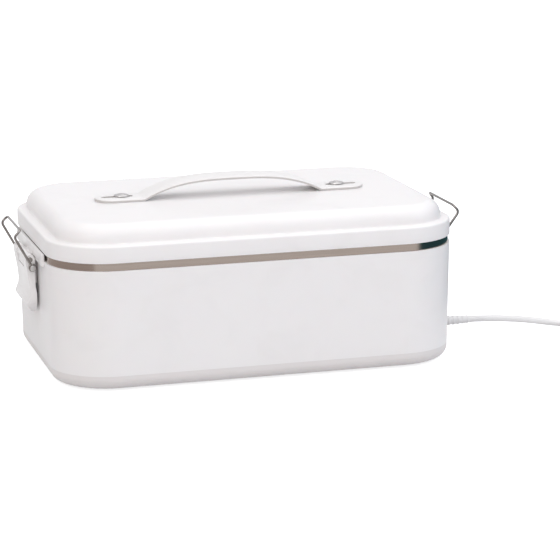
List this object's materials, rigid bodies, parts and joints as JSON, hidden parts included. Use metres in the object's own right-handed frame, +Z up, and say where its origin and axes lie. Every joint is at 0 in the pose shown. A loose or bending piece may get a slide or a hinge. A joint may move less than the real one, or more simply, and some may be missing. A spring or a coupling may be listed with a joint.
{
  "type": "electric lunch box",
  "caption": "White electric lunch box: drafted housing with heater, lift-out steel container, lift-off domed lid with strap handle, wire-bail draw latches and a mains lead.",
  "frame": {"origin": "middle of the plane that the feet stand on", "axes": "+X along the box towards the mains socket, +Y towards the back, +Z up"},
  "size_m": [0.4258, 0.1771, 0.1069],
  "materials": {
    "housing_plastic": "satin moulded",
    "cap_plastic": "satin moulded",
    "foot_rubber": "matt",
    "screw_steel": "plated",
    "aluminium": "milled",
    "mica": "matt sheet",
    "spring_steel": "bright",
    "dark_plastic": "matt",
    "wire_insulation": "insulated",
    "latch_plastic": "satin moulded",
    "wire_steel": "drawn wire",
    "container_steel": "polished",
    "clear_plastic": "translucent",
    "silicone": "soft",
    "rivet_steel": "satin",
    "strap_plastic": "soft touch",
    "lead_plastic": "extruded",
    "pin_metal": "nickel plated"
  },
  "bodies": {
    "base": {"outer_shell": "housing_plastic", "base_cap": "cap_plastic", "rubber_feet": "foot_rubber", "base_screws": "screw_steel", "heating_well": "housing_plastic", "heat_plate": "aluminium", "ptc_heater": "aluminium", "insulation_pad": "mica", "heater_clamp": "spring_steel", "clamp_screws": "screw_steel", "thermostat": "dark_plastic", "thermal_fuse": "aluminium", "wiring": "wire_insulation", "inlet_socket": "dark_plastic", "inlet_pins": "spring_steel", "left_bracket": "housing_plastic", "right_bracket": "housing_plastic", "bracket_screws": "screw_steel", "left_hinge_pin": "spring_steel", "right_hinge_pin": "spring_steel"},
    "container": {"food_container": "container_steel", "divider": "container_steel"},
    "inner_lid": {"inner_lid": "clear_plastic", "inner_lid_seal": "silicone"},
    "vent_plug": {"vent_plug": "silicone"},
    "lid": {"lid_shell": "housing_plastic", "lid_liner": "housing_plastic", "lid_gasket": "silicone", "handle_rivets": "rivet_steel", "rivet_washers": "screw_steel"},
    "left_lever": {"left_lever": "latch_plastic"},
    "left_bail_pins": {"left_bail_pins": "spring_steel"},
    "left_bail": {"left_bail": "wire_steel"},
    "right_lever": {"right_lever": "latch_plastic"},
    "right_bail_pins": {"right_bail_pins": "spring_steel"},
    "right_bail": {"right_bail": "wire_steel"},
    "strap_grip": {"strap_grip": "strap_plastic", "strap_left_flex": "strap_plastic", "strap_right_flex": "strap_plastic"},
    "strap_left_end": {"strap_left_end": "strap_plastic"},
    "strap_right_end": {"strap_right_end": "strap_plastic"},
    "lead": {"lead_connector": "lead_plastic", "lead_relief": "lead_plastic", "lead_cord": "lead_plastic", "lead_coil": "lead_plastic", "lead_tail": "lead_plastic", "coil_tie": "silicone", "plug_relief": "lead_plastic", "mains_plug": "lead_plastic", "plug_pins": "pin_metal"}
  },
  "joints": [
    {"name": "container_lift", "type": "slide", "parent": "base", "child": "container", "axis": [0, 0, 1], "range_m": [0, 0.06]},
    {"name": "inner_lid_lift", "type": "slide", "parent": "container", "child": "inner_lid", "axis": [0, 0, 1], "range_m": [0, 0.025]},
    {"name": "vent_plug_lift", "type": "slide", "parent": "inner_lid", "child": "vent_plug", "axis": [0, 0, 1], "range_m": [0, 0.0035]},
    {"name": "lid_lift", "type": "slide", "parent": "inner_lid", "child": "lid", "axis": [0, 0, 1], "range_m": [0, 0.04]},
    {"name": "left_lever_open", "type": "hinge", "parent": "base", "child": "left_lever", "pos_m": [-0.1246, 0, 0.067], "axis": [0, 1, 0], "range_deg": [0, 110]},
    {"name": "left_pins_turn", "type": "hinge", "parent": "left_lever", "child": "left_bail_pins", "pos_m": [-0.1236, 0, 0.0626], "axis": [0, -1, 0], "range_deg": [0, 110]},
    {"name": "left_bail_swing", "type": "hinge", "parent": "left_bail_pins", "child": "left_bail", "pos_m": [-0.1236, 0, 0.0626], "axis": [0, -1, 0], "range_deg": [-29, 145]},
    {"name": "right_lever_open", "type": "hinge", "parent": "base", "child": "right_lever", "pos_m": [0.1246, 0, 0.067], "axis": [0, -1, 0], "range_deg": [0, 110]},
    {"name": "right_pins_turn", "type": "hinge", "parent": "right_lever", "child": "right_bail_pins", "pos_m": [0.1236, 0, 0.0626], "axis": [0, 1, 0], "range_deg": [0, 110]},
    {"name": "right_bail_swing", "type": "hinge", "parent": "right_bail_pins", "child": "right_bail", "pos_m": [0.1236, 0, 0.0626], "axis": [0, 1, 0], "range_deg": [-37, 137]},
    {"name": "handle_lift", "type": "slide", "parent": "lid", "child": "strap_grip", "axis": [0, 0, 1], "range_m": [0, 0.015], "deforming": ["strap_left_flex", "strap_right_flex"]},
    {"name": "left_end_slide", "type": "slide", "parent": "strap_grip", "child": "strap_left_end", "axis": [0.4706, 0, -0.8824], "range_m": [0, 0.017]},
    {"name": "right_end_slide", "type": "slide", "parent": "strap_grip", "child": "strap_right_end", "axis": [-0.4706, 0, -0.8824], "range_m": [0, 0.017]},
    {"name": "lead_unplug", "type": "slide", "parent": "base", "child": "lead", "axis": [1, 0, 0], "range_m": [0, 0.014]}
  ],
  "couplings": [
    {"joint": "left_pins_turn", "follows": "left_lever_open", "ratio": 1},
    {"joint": "right_pins_turn", "follows": "right_lever_open", "ratio": 1},
    {"joint": "left_end_slide", "follows": "handle_lift", "ratio": 1.1333},
    {"joint": "right_end_slide", "follows": "handle_lift", "ratio": 1.1333}
  ]
}
